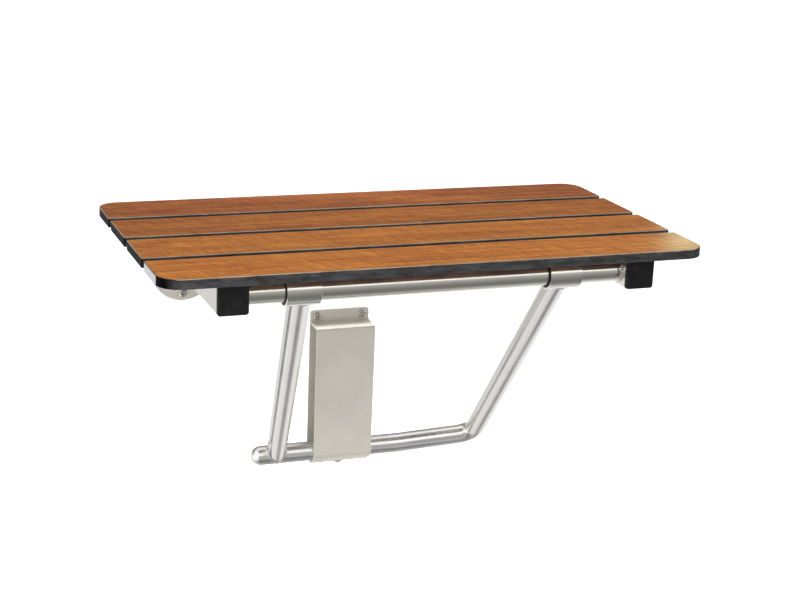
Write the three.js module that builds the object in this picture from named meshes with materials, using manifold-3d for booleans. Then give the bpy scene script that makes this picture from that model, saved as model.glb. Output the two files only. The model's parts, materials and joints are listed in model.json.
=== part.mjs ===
// Wall-mounted folding shower seat: four slats on a steel frame, hinged on two wall flanges,
// with a drop leg whose bottom tube rides in a guide on the wall.
// Millimetres. X runs along the wall, +Y points into the wall, +Z is up.
// The wall is the plane Y = 0. The origin is under the seat's middle, level with the middle of the
// guide's back plate.
import * as THREE from 'three'
import { mergeVertices } from 'three/addons/utils/BufferGeometryUtils.js'
import Module from 'manifold-3d'

const wasm = await Module()
wasm.setup()

// ---- driving sizes ----
const GAP = 0.3                 // clearance left between pieces that touch
const SEAT_TOP = 292            // top of the slats above the origin

const SEAT_WIDTH = 711.2        // 28 in
const SLAT_DEPTH = 88.9         // 3 1/2 in
const SLAT_SPACE = 12.7         // 1/2 in between slats
const SLAT_THICK = 12.7         // 1/2 in solid phenolic
const SLAT_COUNT = 4
const SLAT_BEVEL = 1.2
const CORNER_RADIUS = 28
const SEAT_DEPTH = SLAT_COUNT * SLAT_DEPTH + (SLAT_COUNT - 1) * SLAT_SPACE
const WALL_CLEARANCE = 22       // behind the rear slat
const FRONT_Y = -(WALL_CLEARANCE + SEAT_DEPTH)

const SQUARE = 38.1             // 1 1/2 in square tube
const SQUARE_WALL = 2
const SQUARE_CORNER = 3.5
const SQUARE_X = 266.5          // centre of each square tube
const SQUARE_Z = SEAT_TOP - SLAT_THICK - GAP - SQUARE / 2
const CAP_FRONT_Y = FRONT_Y + 11
const CAP_THICK = 5
const REAR_CAP_THICK = 3
const PLUG_DEPTH = 5.5

const PIVOT_Y = -50             // hinge axis, from the wall
const PIVOT_Z = SQUARE_Z - 8    // below the tube's axis, so the seat folds clear of the wall
const SQUARE_FRONT_Y = CAP_FRONT_Y + CAP_THICK + GAP
const SQUARE_REAR_Y = PIVOT_Y + 23

const ROUND_RADIUS = 14.3       // 1 1/8 in round tube
const ROUND_WALL = 1.8
const CROSS_Y = FRONT_Y + 38.1  // axis of the front cross tube
const CROSS_Z = SQUARE_Z

const SLEEVE_RADIUS = 19
const SLEEVE_WALL = 2
const SLEEVE_LENGTH = 43.6
const BUSH_LIP = 0.8            // bushing flange that shows at the sleeve's end
const LIP_RADIUS = SLEEVE_RADIUS - 1

const LEG_TOP_LEFT_X = -177     // middle of the left sleeve
const LEG_TOP_RIGHT_X = 167     // middle of the right sleeve
const LEG_BOTTOM_LEFT_X = -95.4
const LEG_BOTTOM_RIGHT_X = 215.5
const LEG_END_X = -119          // centre of the domed end left of the left leg
const LEG_BOTTOM_Y = -18.6
const LEG_BOTTOM_Z = SEAT_TOP - 388.6
const LEG_BEND = 24             // bend radius of the right corner, on the tube's axis
const BAR_END_X = 75            // the bar's open end, welded to the right leg
const LEG_KINK_X = 92           // the right leg's tube starts to rise here
const LEG_RISE = 4.8            // height of the right corner above the bar
const LEG_KINK_RADIUS = 300

const GUIDE_X = 1.5
const GUIDE_WIDTH = 88.9        // 3 1/2 in
const GUIDE_SHEET = 2
const GUIDE_SLACK = 0.8         // between the bottom tube and the bent sheet
const GUIDE_TOP = SEAT_TOP - 177
const GUIDE_SHELF = SEAT_TOP - 195.5
const GUIDE_SHELF_FALL = 2.5
const GUIDE_CORNER = 5
const GUIDE_CURL_RADIUS = ROUND_RADIUS + GUIDE_SLACK + GUIDE_SHEET / 2
const GUIDE_FRONT_Y = LEG_BOTTOM_Y - GUIDE_CURL_RADIUS
const GUIDE_CURL_Z = LEG_BOTTOM_Z - GUIDE_CURL_RADIUS
const GUIDE_TAB_Z = GUIDE_CURL_Z - GUIDE_SHEET - GAP
const GUIDE_TAB_REACH = 20
const CLAMP_Y = -12             // the screw that holds the curl to the plate's tab
// Wall screws of the guide: name, x, z, and whether the bracket's flange lies under the head.
const GUIDE_SCREWS = [
  ['guide_screw_upper_left', GUIDE_X - 34, GUIDE_TOP - 9, true],
  ['guide_screw_upper_right', GUIDE_X + 34, GUIDE_TOP - 9, true],
  ['guide_screw_lower_left', GUIDE_X - 18, GUIDE_TOP - 130, false],
  ['guide_screw_lower_right', GUIDE_X + 18, GUIDE_TOP - 130, false],
]

const FLANGE_X = 231
const FLANGE_Z = SEAT_TOP - 105
const FLANGE_RADIUS = 45
const FLANGE_THICK = 3
const FLANGE_SCREW_CIRCLE = 34
const LUG_THICK = 5
const LUG_X = 242.9             // centre of the lug plate
const LUG_HEAD = 14
const LUG_TOP_OF_FOOT = FLANGE_Z + 30
const WASHER_THICK = 1.5

const BOLT_RADIUS = 5
const SCREW_RADIUS = 2.5
const SCREW_HEAD_RADIUS = 6
const SCREW_HEAD_HEIGHT = 3.4
const WAFER_HEAD_HEIGHT = 1.2   // the bar passes over the guide's lower screws
const SLAT_SCREW_RADIUS = 2
const SLAT_SCREW_BITE = 8.5     // how far a slat screw goes into the phenolic
const SLAT_SCREW_OFFSETS = [-20, 20]
const REAR_SLAT_SCREW_OFFSETS = [-28, 2]  // clear of the hinge bolt

// ---- materials ----
const woodgrain = new THREE.MeshStandardMaterial({ color: 0xb5673a, roughness: 0.45 })
const steel = new THREE.MeshStandardMaterial({ color: 0xc9c7c2, roughness: 0.35, metalness: 1 })
const screwSteel = new THREE.MeshStandardMaterial({ color: 0xd4d4d4, roughness: 0.25, metalness: 1 })
const blackPlastic = new THREE.MeshStandardMaterial({ color: 0x17171a, roughness: 0.5 })

// ---- solids ----
const ALONG_X = new THREE.Matrix4().makeBasis(
  new THREE.Vector3(0, 1, 0),
  new THREE.Vector3(0, 0, 1),
  new THREE.Vector3(1, 0, 0),
)
const ALONG_Y = new THREE.Matrix4().makeBasis(
  new THREE.Vector3(0, 0, 1),
  new THREE.Vector3(1, 0, 0),
  new THREE.Vector3(0, 1, 0),
)

// A closed three.js geometry as a solid that can be joined and cut.
function solid(geometry) {
  const bare = new THREE.BufferGeometry()
  const flat = geometry.index ? geometry.toNonIndexed() : geometry
  bare.setAttribute('position', flat.getAttribute('position'))
  const merged = mergeVertices(bare, 1e-4)
  return new wasm.Manifold(new wasm.Mesh({
    numProp: 3,
    vertProperties: merged.attributes.position.array,
    triVerts: new Uint32Array(merged.index.array),
  }))
}

function meshOf(name, body, material) {
  const data = body.getMesh()
  const geometry = new THREE.BufferGeometry()
  geometry.setAttribute('position', new THREE.BufferAttribute(data.vertProperties, 3))
  geometry.setIndex(new THREE.BufferAttribute(data.triVerts, 1))
  const mesh = new THREE.Mesh(geometry, material)
  mesh.name = name
  return mesh
}

function box(x0, x1, y0, y1, z0, z1) {
  const geometry = new THREE.BoxGeometry(x1 - x0, y1 - y0, z1 - z0)
  geometry.translate((x0 + x1) / 2, (y0 + y1) / 2, (z0 + z1) / 2)
  return solid(geometry)
}

// A profile of [radius, height] pairs turned about the axis that `place` lays out, moved to `at`.
function turned(profile, at, place, segments = 24) {
  const points = profile.map(([r, h]) => new THREE.Vector2(r, h))
  const geometry = new THREE.LatheGeometry(points, segments)
  // Lathe turns about its own Y; stand it up along local Z first.
  geometry.rotateX(Math.PI / 2)
  geometry.applyMatrix4(place)
  geometry.translate(...at)
  return solid(geometry)
}

function rodX(radius, x0, x1, y, z, segments = 24) {
  return turned([[0, x0], [radius, x0], [radius, x1], [0, x1]], [0, y, z], ALONG_X, segments)
}

function rodY(radius, x, y0, y1, z, segments = 16) {
  return turned([[0, y0], [radius, y0], [radius, y1], [0, y1]], [x, 0, z], ALONG_Y, segments)
}

function rodZ(radius, x, y, z0, z1, segments = 16) {
  const upright = new THREE.Matrix4()
  return turned([[0, z0], [radius, z0], [radius, z1], [0, z1]], [x, y, 0], upright, segments)
}

// A flat outline of [u, v] points pushed along the third axis of `place`.
function extruded(outline, length, place, at) {
  const shape = new THREE.Shape(outline.map(([u, v]) => new THREE.Vector2(u, v)))
  const geometry = new THREE.ExtrudeGeometry(shape, { depth: length, bevelEnabled: false })
  geometry.applyMatrix4(place)
  geometry.translate(...at)
  return solid(geometry)
}

// Outline of a square with rounded corners.
function roundedSquare(side, radius, steps = 2) {
  const points = []
  const c = side / 2 - radius
  const corners = [[c, -c], [c, c], [-c, c], [-c, -c]]
  corners.forEach(([u, v], k) => {
    for (let i = 0; i <= steps; i++) {
      const angle = (k - 1 + i / steps) * Math.PI / 2
      points.push([u + radius * Math.cos(angle), v + radius * Math.sin(angle)])
    }
  })
  return points
}

// A square bar lying along Y, centred on a square tube's axis.
function squareBar(side, radius, x, y0, y1) {
  return extruded(roundedSquare(side, radius), y1 - y0, ALONG_Y, [x, y0, SQUARE_Z])
}

// Points on the arc that rounds the corner b of the path a-b-c.
function filletPoints(a, b, c, radius, steps) {
  const toA = a.clone().sub(b).normalize()
  const toC = c.clone().sub(b).normalize()
  const half = toA.angleTo(toC) / 2
  const reach = radius / Math.tan(half)
  const middle = toA.clone().add(toC).normalize()
  const centre = b.clone().addScaledVector(middle, radius / Math.sin(half))
  const from = b.clone().addScaledVector(toA, reach).sub(centre)
  const to = b.clone().addScaledVector(toC, reach).sub(centre)
  const sweep = from.angleTo(to)
  const points = []
  for (let i = 0; i <= steps; i++) {
    const t = i / steps
    const p = from.clone().multiplyScalar(Math.sin((1 - t) * sweep) / Math.sin(sweep))
    p.addScaledVector(to, Math.sin(t * sweep) / Math.sin(sweep))
    points.push(p.add(centre))
  }
  return points
}

// A round rod along a path that lies in the plane with this normal. `radii` holds one radius per point.
function rodAlong(path, radii, plane, segments = 20) {
  const position = []
  const index = []
  path.forEach((point, k) => {
    const radius = radii[k]
    const before = path[Math.max(k - 1, 0)]
    const after = path[Math.min(k + 1, path.length - 1)]
    const tangent = after.clone().sub(before).normalize()
    const side = new THREE.Vector3().crossVectors(tangent, plane).normalize()
    const up = new THREE.Vector3().crossVectors(side, tangent).normalize()
    for (let i = 0; i < segments; i++) {
      const angle = i / segments * 2 * Math.PI
      const p = point.clone()
      p.addScaledVector(side, radius * Math.cos(angle))
      p.addScaledVector(up, radius * Math.sin(angle))
      position.push(p.x, p.y, p.z)
    }
  })
  for (let k = 0; k + 1 < path.length; k++) {
    for (let i = 0; i < segments; i++) {
      const a = k * segments + i
      const b = k * segments + (i + 1) % segments
      index.push(a, b + segments, b, a, a + segments, b + segments)
    }
  }
  const last = (path.length - 1) * segments
  for (let i = 1; i + 1 < segments; i++) {
    index.push(0, i, i + 1)
    index.push(last, last + i + 1, last + i)
  }
  const geometry = new THREE.BufferGeometry()
  geometry.setAttribute('position', new THREE.Float32BufferAttribute(position, 3))
  geometry.setIndex(index)
  return solid(geometry)
}

// ---- the seat ----
const slatScrewZ = SEAT_TOP - SLAT_THICK + SLAT_SCREW_BITE
const slatCentres = Array.from({ length: SLAT_COUNT }, (_, i) =>
  FRONT_Y + SLAT_DEPTH / 2 + i * (SLAT_DEPTH + SLAT_SPACE))

// Where the screws of slat i sit along Y.
function screwRows(i) {
  const offsets = i === SLAT_COUNT - 1 ? REAR_SLAT_SCREW_OFFSETS : SLAT_SCREW_OFFSETS
  return offsets.map((offset) => slatCentres[i] + offset)
}

// Rounded corners on the slat's front edge, its rear edge, or neither.
function slatShape(roundFront, roundRear) {
  const w = SEAT_WIDTH / 2 - SLAT_BEVEL
  const d = SLAT_DEPTH / 2 - SLAT_BEVEL
  const front = roundFront ? CORNER_RADIUS - SLAT_BEVEL : 3
  const rear = roundRear ? CORNER_RADIUS - SLAT_BEVEL : 3
  const shape = new THREE.Shape()
  shape.moveTo(-w + front, -d)
  shape.lineTo(w - front, -d)
  shape.absarc(w - front, -d + front, front, -Math.PI / 2, 0, false)
  shape.lineTo(w, d - rear)
  shape.absarc(w - rear, d - rear, rear, 0, Math.PI / 2, false)
  shape.lineTo(-w + rear, d)
  shape.absarc(-w + rear, d - rear, rear, Math.PI / 2, Math.PI, false)
  shape.lineTo(-w, -d + front)
  shape.absarc(-w + front, -d + front, front, Math.PI, 1.5 * Math.PI, false)
  return shape
}

function slat(i) {
  const geometry = new THREE.ExtrudeGeometry(slatShape(i === 0, i === SLAT_COUNT - 1), {
    depth: SLAT_THICK - 2 * SLAT_BEVEL,
    bevelEnabled: true,
    bevelThickness: SLAT_BEVEL,
    bevelSize: SLAT_BEVEL,
    bevelSegments: 1,
    curveSegments: 5,
  })
  geometry.translate(0, slatCentres[i], SEAT_TOP - SLAT_THICK + SLAT_BEVEL)
  let body = solid(geometry)
  for (const x of [-SQUARE_X, SQUARE_X]) {
    for (const y of screwRows(i)) {
      const z0 = SEAT_TOP - SLAT_THICK - 1
      const hole = rodZ(SLAT_SCREW_RADIUS + GAP, x, y, z0, slatScrewZ + GAP, 8)
      body = body.subtract(hole)
    }
  }
  return body
}

function squareTube(x) {
  let body = squareBar(SQUARE, SQUARE_CORNER, x, SQUARE_FRONT_Y, SQUARE_REAR_Y)
  const bore = SQUARE - 2 * SQUARE_WALL
  const boreCorner = SQUARE_CORNER - SQUARE_WALL
  body = body.subtract(squareBar(bore, boreCorner, x, SQUARE_FRONT_Y - 1, SQUARE_REAR_Y + 1))
  const z0 = SQUARE_Z - SQUARE / 2 - 1
  const z1 = SQUARE_Z + SQUARE / 2 + 1
  slatCentres.forEach((_, i) => {
    for (const y of screwRows(i)) {
      body = body.subtract(rodZ(SLAT_SCREW_RADIUS + GAP, x, y, z0, z1, 8))
    }
  })
  const hole = rodX(BOLT_RADIUS + GAP, x - SQUARE, x + SQUARE, PIVOT_Y, PIVOT_Z, 16)
  return body.subtract(hole)
}

// A moulded cap: a face over the tube's end and a hollow plug inside it.
// `out` is -1 for a front cap and 1 for a rear one.
function endCap(x, tubeEnd, thick, out) {
  const bore = SQUARE - 2 * SQUARE_WALL - 2 * GAP
  const face = tubeEnd + out * GAP
  const slice = (side, radius, a, b) =>
    squareBar(side, radius, x, Math.min(a, b), Math.max(a, b))
  let body = slice(SQUARE, SQUARE_CORNER, face, face + out * (thick - 1.2))
  body = body.add(slice(SQUARE - 2.4, SQUARE_CORNER - 1, face, face + out * thick))
  body = body.subtract(slice(SQUARE - 8, 2, face + out * (thick - 0.7), face + out * (thick + 1)))
  body = body.add(slice(bore, 1.2, face + out * 0.5, face - out * PLUG_DEPTH))
  return body.subtract(slice(bore - 4, 1, face - out * 1.5, face - out * (PLUG_DEPTH + 1)))
}

function crossTube() {
  const reach = SQUARE_X - SQUARE / 2 - GAP
  const outer = rodX(ROUND_RADIUS, -reach, reach, CROSS_Y, CROSS_Z, 32)
  return outer.subtract(rodX(ROUND_RADIUS - ROUND_WALL, -reach - 1, reach + 1, CROSS_Y, CROSS_Z))
}

// ---- the drop leg ----
function sleeve(x) {
  const half = SLEEVE_LENGTH / 2
  const outer = rodX(SLEEVE_RADIUS, x - half, x + half, CROSS_Y, CROSS_Z, 32)
  const bore = SLEEVE_RADIUS - SLEEVE_WALL
  return outer.subtract(rodX(bore, x - half - 1, x + half + 1, CROSS_Y, CROSS_Z, 32))
}

// A plastic liner with a lip over the sleeve's left end.
function bushing(x) {
  const half = SLEEVE_LENGTH / 2
  const left = x - half - GAP
  const body = rodX(SLEEVE_RADIUS - SLEEVE_WALL - GAP, left - BUSH_LIP / 2, x + half, CROSS_Y, CROSS_Z, 32)
  const lip = rodX(LIP_RADIUS, left - BUSH_LIP, left, CROSS_Y, CROSS_Z, 32)
  const bore = rodX(ROUND_RADIUS + GAP, left - 4, x + half + 1, CROSS_Y, CROSS_Z, 32)
  return body.add(lip).subtract(bore)
}

const legPlane = new THREE.Vector3(0, CROSS_Z - LEG_BOTTOM_Z, LEG_BOTTOM_Y - CROSS_Y).normalize()
const footLeft = new THREE.Vector3(LEG_BOTTOM_LEFT_X, LEG_BOTTOM_Y, LEG_BOTTOM_Z)
const barEnd = new THREE.Vector3(BAR_END_X, LEG_BOTTOM_Y, LEG_BOTTOM_Z)
const kink = new THREE.Vector3(LEG_KINK_X, LEG_BOTTOM_Y, LEG_BOTTOM_Z)
const footRight = new THREE.Vector3(LEG_BOTTOM_RIGHT_X, LEG_BOTTOM_Y, LEG_BOTTOM_Z + LEG_RISE)
const topLeft = new THREE.Vector3(LEG_TOP_LEFT_X, CROSS_Y, CROSS_Z)
const topRight = new THREE.Vector3(LEG_TOP_RIGHT_X, CROSS_Y, CROSS_Z)
const rightBends = [
  ...filletPoints(barEnd, kink, footRight, LEG_KINK_RADIUS, 2),
  ...filletPoints(kink, footRight, topRight, LEG_BEND, 7),
]

// The point `extra` millimetres past `to` on the line from `from`.
function past(from, to, extra) {
  return to.clone().addScaledVector(to.clone().sub(from).normalize(), extra)
}

function evenRod(path, radius) {
  return rodAlong(path, path.map(() => radius), legPlane)
}

// The horizontal bar in the wall guide: a domed left end, and an open end right of the guide.
function barRod(radius, extra) {
  const end = new THREE.Vector3(LEG_END_X, LEG_BOTTOM_Y, LEG_BOTTOM_Z)
  const path = []
  const radii = []
  for (const degrees of [6, 30, 55]) {
    const angle = degrees * Math.PI / 180
    path.push(end.clone().setX(LEG_END_X - radius * Math.cos(angle)))
    radii.push(radius * Math.sin(angle))
  }
  path.push(end, past(end, barEnd, extra))
  return rodAlong(path, [...radii, radius, radius], legPlane)
}

function legBar() {
  return barRod(ROUND_RADIUS, -GAP).subtract(barRod(ROUND_RADIUS - ROUND_WALL, 1))
}

// Coped to fit under the sleeves.
function underSleeve(body) {
  const reach = SQUARE_X
  return body.subtract(rodX(SLEEVE_RADIUS + GAP, -reach, reach, CROSS_Y, CROSS_Z, 32))
}

// A straight tube coped at both ends: under the sleeve, and onto the bar.
function leftLeg() {
  const outer = evenRod([footLeft, topLeft], ROUND_RADIUS)
  const bore = evenRod([footLeft, past(footLeft, topLeft, 5)], ROUND_RADIUS - ROUND_WALL)
  const reach = ROUND_RADIUS + 30
  const x0 = LEG_BOTTOM_LEFT_X - reach
  const x1 = LEG_BOTTOM_LEFT_X + reach
  const bar = rodX(ROUND_RADIUS + GAP, x0, x1, LEG_BOTTOM_Y, LEG_BOTTOM_Z, 32)
  return underSleeve(outer.subtract(bore).subtract(bar))
}

// A tube that goes on from the bar, bends twice and is coped under the sleeve.
function rightLeg() {
  const boreStart = past(kink, barEnd, 1)
  const boreEnd = past(footRight, topRight, 5)
  const outer = evenRod([barEnd, ...rightBends, topRight], ROUND_RADIUS)
  const bore = evenRod([boreStart, ...rightBends, boreEnd], ROUND_RADIUS - ROUND_WALL)
  return underSleeve(outer.subtract(bore))
}

// ---- the wall guide ----
// The outline of a bent sheet whose middle line runs through [y, z, bend radius] corners.
function sheetOutline(corners) {
  const points = corners.map(([y, z]) => new THREE.Vector3(y, z, 0))
  const line = []
  corners.forEach(([, , radius], i) => {
    if (radius === 0) {
      line.push(points[i])
    } else {
      line.push(...filletPoints(points[i - 1], points[i], points[i + 1], radius, 5))
    }
  })
  const offset = (side) => line.map((p, i) => {
    const before = line[Math.max(i - 1, 0)]
    const after = line[Math.min(i + 1, line.length - 1)]
    const along = after.clone().sub(before).normalize()
    return [p.x - side * along.y, p.y + side * along.x]
  })
  return [...offset(GUIDE_SHEET / 2), ...offset(-GUIDE_SHEET / 2).reverse()]
}

// Rounds the two top corners of a guide piece by cutting it with a plate-shaped outline.
function roundTop(body) {
  const half = GUIDE_WIDTH / 2
  const outline = [[-half, -300], [half, -300]]
  for (let i = 0; i <= 4; i++) {
    const angle = i / 4 * Math.PI / 2
    const c = GUIDE_CORNER
    outline.push([half - c + c * Math.cos(angle), GUIDE_TOP - c + c * Math.sin(angle)])
  }
  for (let i = 0; i <= 4; i++) {
    const angle = Math.PI / 2 + i / 4 * Math.PI / 2
    const c = GUIDE_CORNER
    outline.push([c - half + c * Math.cos(angle), GUIDE_TOP - c + c * Math.sin(angle)])
  }
  // ALONG_Y lays outlines out as [z, x].
  const turnedOutline = outline.map(([x, z]) => [z, x]).reverse()
  return body.intersect(extruded(turnedOutline, 80, ALONG_Y, [GUIDE_X, -75, 0]))
}

// The plate on the wall; its foot is bent forward as a tab under the bracket's curl.
function guidePlate() {
  const outline = sheetOutline([
    [-GUIDE_SHEET / 2, GUIDE_TOP, 0],
    [-GUIDE_SHEET / 2, GUIDE_TAB_Z, 3],
    [-GUIDE_TAB_REACH, GUIDE_TAB_Z, 0],
  ])
  let body = extruded(outline, GUIDE_WIDTH, ALONG_X, [GUIDE_X - GUIDE_WIDTH / 2, 0, 0])
  for (const [, x, z] of GUIDE_SCREWS) {
    body = body.subtract(rodY(SCREW_RADIUS + GAP, x, -5, 5, z))
  }
  body = body.subtract(rodZ(SCREW_RADIUS + GAP, GUIDE_X, CLAMP_Y, GUIDE_TAB_Z - 5, GUIDE_TAB_Z + 2))
  return roundTop(body)
}

// Bent sheet: a flange on the plate, a shelf, the tall front, and the curl under the tube.
function guideBracket() {
  const wall = -GUIDE_SHEET - GAP - GUIDE_SHEET / 2
  const outline = sheetOutline([
    [wall, GUIDE_TOP, 0],
    [wall, GUIDE_SHELF, 4],
    [GUIDE_FRONT_Y, GUIDE_SHELF - GUIDE_SHELF_FALL, 2.5],
    [GUIDE_FRONT_Y, GUIDE_CURL_Z, GUIDE_CURL_RADIUS],
    [wall - 2, GUIDE_CURL_Z, 0],
  ])
  let body = extruded(outline, GUIDE_WIDTH, ALONG_X, [GUIDE_X - GUIDE_WIDTH / 2, 0, 0])
  for (const [, x, z, throughBracket] of GUIDE_SCREWS) {
    if (throughBracket) {
      body = body.subtract(rodY(SCREW_RADIUS + GAP, x, -8, 0, z))
    }
  }
  body = body.subtract(rodZ(SCREW_RADIUS + GAP, GUIDE_X, CLAMP_Y, GUIDE_CURL_Z - 2, GUIDE_CURL_Z + 2))
  return roundTop(body)
}

const clampFace = GUIDE_TAB_Z - GUIDE_SHEET / 2 - GAP
const CLAMP_WASHER_THICK = 1.2

function clampWasher() {
  const inner = SCREW_RADIUS + GAP
  const upright = new THREE.Matrix4()
  return turned([
    [inner, clampFace - CLAMP_WASHER_THICK],
    [8, clampFace - CLAMP_WASHER_THICK],
    [8, clampFace],
    [inner, clampFace],
    [inner, clampFace - CLAMP_WASHER_THICK],
  ], [GUIDE_X, CLAMP_Y, 0], upright, 20)
}

function clampScrew() {
  const seat = clampFace - CLAMP_WASHER_THICK - GAP
  const length = GUIDE_CURL_Z + GUIDE_SHEET / 2 - seat
  const upright = new THREE.Matrix4()
  return panScrew(SCREW_RADIUS, SCREW_HEAD_RADIUS, SCREW_HEAD_HEIGHT, length, upright, [GUIDE_X, CLAMP_Y, seat])
}

// ---- the wall hinges ----
function flangeScrewPlaces(side) {
  return [-90, 30, 150].map((degrees) => {
    const angle = degrees * Math.PI / 180
    const x = side * FLANGE_X + FLANGE_SCREW_CIRCLE * Math.cos(angle)
    const z = FLANGE_Z + FLANGE_SCREW_CIRCLE * Math.sin(angle)
    return [x, z]
  })
}

function hingeFlange(side) {
  const profile = [
    [0, -FLANGE_THICK],
    [FLANGE_RADIUS - 1, -FLANGE_THICK],
    [FLANGE_RADIUS, -FLANGE_THICK + 1],
    [FLANGE_RADIUS, 0],
    [0, 0],
  ]
  let body = turned(profile, [side * FLANGE_X, 0, FLANGE_Z], ALONG_Y, 36)
  for (const [x, z] of flangeScrewPlaces(side)) {
    body = body.subtract(rodY(SCREW_RADIUS + GAP, x, -5, 5, z))
  }
  return body
}

// The lug stands off the flange below the seat's sweep and rises to the hinge bolt.
function hingeLug(side) {
  const foot = -FLANGE_THICK - GAP
  const outline = [[foot, LUG_TOP_OF_FOOT], [foot, FLANGE_Z - 26], [-20, FLANGE_Z - 26]]
  const low = new THREE.Vector3(-20, FLANGE_Z - 26, 0)
  const knee = new THREE.Vector3(PIVOT_Y - LUG_HEAD, FLANGE_Z - 4, 0)
  const high = new THREE.Vector3(PIVOT_Y - LUG_HEAD, PIVOT_Z, 0)
  for (const p of filletPoints(low, knee, high, 12, 4)) {
    outline.push([p.x, p.y])
  }
  for (let i = 0; i <= 12; i++) {
    const angle = Math.PI - i / 12 * Math.PI
    outline.push([PIVOT_Y + LUG_HEAD * Math.cos(angle), PIVOT_Z + LUG_HEAD * Math.sin(angle)])
  }
  const neck = new THREE.Vector3(PIVOT_Y + LUG_HEAD, PIVOT_Z, 0)
  const bend = new THREE.Vector3(PIVOT_Y + LUG_HEAD, LUG_TOP_OF_FOOT, 0)
  const wall = new THREE.Vector3(foot, LUG_TOP_OF_FOOT, 0)
  for (const p of filletPoints(neck, bend, wall, 8, 4)) {
    outline.push([p.x, p.y])
  }
  const x0 = side * LUG_X - LUG_THICK / 2
  const body = extruded(outline.reverse(), LUG_THICK, ALONG_X, [x0, 0, 0])
  return body.subtract(rodX(BOLT_RADIUS + GAP, x0 - 1, x0 + LUG_THICK + 1, PIVOT_Y, PIVOT_Z, 20))
}

// Pieces on the hinge axis are laid out outward from the lug, then mirrored for the left side.
const LUG_INNER = LUG_X - LUG_THICK / 2
const LUG_OUTER = LUG_X + LUG_THICK / 2
const TUBE_INNER = SQUARE_X - SQUARE / 2
const TUBE_OUTER = SQUARE_X + SQUARE / 2
const NUT_START = TUBE_OUTER + GAP + WASHER_THICK + GAP
const NUT_HEIGHT = 12
const BOLT_END = NUT_START + 7

function hingePiece(side, profile, segments = 16) {
  const place = ALONG_X.clone()
  if (side < 0) {
    place.premultiply(new THREE.Matrix4().makeRotationZ(Math.PI))
  }
  return turned(profile, [0, PIVOT_Y, PIVOT_Z], place, segments)
}

function hingeBolt(side) {
  const head = LUG_INNER - GAP
  const body = hingePiece(side, [
    [0, head - 5.5],
    [4, head - 5.3],
    [7.4, head - 4],
    [9, head - 1.6],
    [9, head],
    [BOLT_RADIUS, head],
    [BOLT_RADIUS, BOLT_END - 1],
    [BOLT_RADIUS - 1, BOLT_END],
    [0, BOLT_END],
  ])
  const socket = hingePiece(side, [[0, head - 6], [3.4, head - 6], [3.4, head - 3], [0, head - 3]], 6)
  return body.subtract(socket)
}

function hingeWasher(side, start) {
  const inner = BOLT_RADIUS + GAP
  return hingePiece(side, [
    [inner, start],
    [10.5, start],
    [10.5, start + WASHER_THICK],
    [inner, start + WASHER_THICK],
    [inner, start],
  ])
}

// A domed cap nut: hexagonal skirt, round dome, blind bore for the bolt.
function hingeNut(side) {
  const skirt = hingePiece(side, [
    [0, NUT_START],
    [9.2, NUT_START],
    [9.2, NUT_START + 6],
    [0, NUT_START + 6],
  ], 6)
  const dome = hingePiece(side, [
    [0, NUT_START + 3],
    [7.6, NUT_START + 3],
    [7.6, NUT_START + 7],
    [6.4, NUT_START + 9.6],
    [3.8, NUT_START + 11.4],
    [0, NUT_START + NUT_HEIGHT],
  ])
  const bore = hingePiece(side, [
    [0, NUT_START - 1],
    [BOLT_RADIUS + GAP, NUT_START - 1],
    [BOLT_RADIUS + GAP, BOLT_END + GAP],
    [0, BOLT_END + GAP],
  ])
  return skirt.add(dome).subtract(bore)
}

// ---- screws ----
// A pan head with a cross recess. Local +Z points from the head's top towards the shank's tip.
function panScrew(shankRadius, headRadius, headHeight, length, place, at) {
  const body = turned([
    [0, -headHeight],
    [headRadius * 0.6, -headHeight * 0.9],
    [headRadius, -headHeight * 0.3],
    [headRadius, 0],
    [shankRadius, 0],
    [shankRadius, length],
    [0, length],
  ], at, place, 10)
  const arm = headRadius * 0.5
  const wide = headRadius * 0.11
  const recess = [[arm, wide], [wide, arm]].map(([u, v]) => {
    const bar = new THREE.BoxGeometry(2 * u, 2 * v, headHeight * 1.2)
    bar.translate(0, 0, -headHeight)
    bar.applyMatrix4(place)
    bar.translate(...at)
    return solid(bar)
  })
  return body.subtract(recess[0]).subtract(recess[1])
}

// Wall screws stop at the wall plane; the length that goes into the wall is left out.
function wallScrew(x, z, seat, headHeight = SCREW_HEAD_HEIGHT) {
  return panScrew(SCREW_RADIUS, SCREW_HEAD_RADIUS, headHeight, -seat, ALONG_Y, [x, seat, z])
}

function slatScrew(x, y) {
  const upright = new THREE.Matrix4()
  const z = SQUARE_Z - SQUARE / 2 - GAP
  return panScrew(SLAT_SCREW_RADIUS, 4.6, 2.6, slatScrewZ - z, upright, [x, y, z])
}

// ---- assembly ----
const group = new THREE.Group()
group.name = 'folding_shower_seat'

function place(name, body, material) {
  group.add(meshOf(name, body, material))
}

const SIDES = [['left', -1], ['right', 1]]
const SLAT_NAMES = ['slat_front', 'slat_mid_front', 'slat_mid_rear', 'slat_rear']

SLAT_NAMES.forEach((name, i) => {
  place(name, slat(i), woodgrain)
  for (const [word, side] of SIDES) {
    screwRows(i).forEach((y, k) => {
      place(`slat_screw_${word}_${i + 1}${'ab'[k]}`, slatScrew(side * SQUARE_X, y), screwSteel)
    })
  }
})

for (const [word, side] of SIDES) {
  place(`square_tube_${word}`, squareTube(side * SQUARE_X), steel)
  place(`front_cap_${word}`, endCap(side * SQUARE_X, SQUARE_FRONT_Y, CAP_THICK, -1), blackPlastic)
  place(`rear_cap_${word}`, endCap(side * SQUARE_X, SQUARE_REAR_Y, REAR_CAP_THICK, 1), blackPlastic)
}
place('front_cross_tube', crossTube(), steel)

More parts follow.
